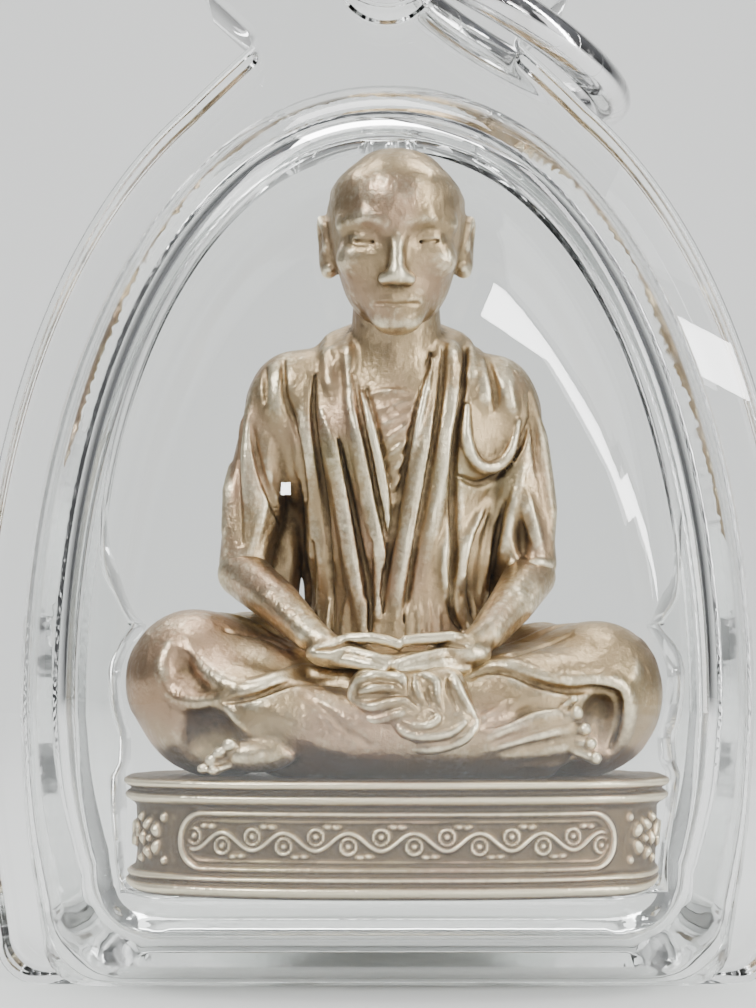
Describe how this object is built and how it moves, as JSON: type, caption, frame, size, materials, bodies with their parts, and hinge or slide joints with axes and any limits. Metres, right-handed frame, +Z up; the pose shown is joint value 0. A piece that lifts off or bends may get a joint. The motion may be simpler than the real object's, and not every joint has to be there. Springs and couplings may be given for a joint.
{
  "type": "amulet",
  "caption": "Cast bronze figure of a seated robed monk on an oval pedestal, in a clear arched case with a lug and a steel hanging ring.",
  "frame": {"origin": "under the middle of the case, on the flat lower edge that it stands on", "axes": "+Z up towards the hanging ring, -Y the way the figure faces, +X to the right as seen from the front"},
  "size_m": [0.03, 0.0164, 0.0402],
  "materials": {
    "slab_acrylic": "clear polished acrylic",
    "dome_acrylic": "clear moulded acrylic",
    "bronze": "worn cast bronze with dark patina in the recesses",
    "steel": "bright polished"
  },
  "bodies": {
    "case": {"case_slab": "slab_acrylic", "front_dome": "dome_acrylic", "back_dome": "dome_acrylic", "monk_figure": "bronze"},
    "ring": {"hanging_ring": "steel"}
  },
  "joints": [
    {"name": "ring_swing", "type": "hinge", "parent": "case", "child": "ring", "pos_m": [0, 0, 0.03749], "axis": [0, -1, 0], "range_deg": [0, 242]}
  ]
}
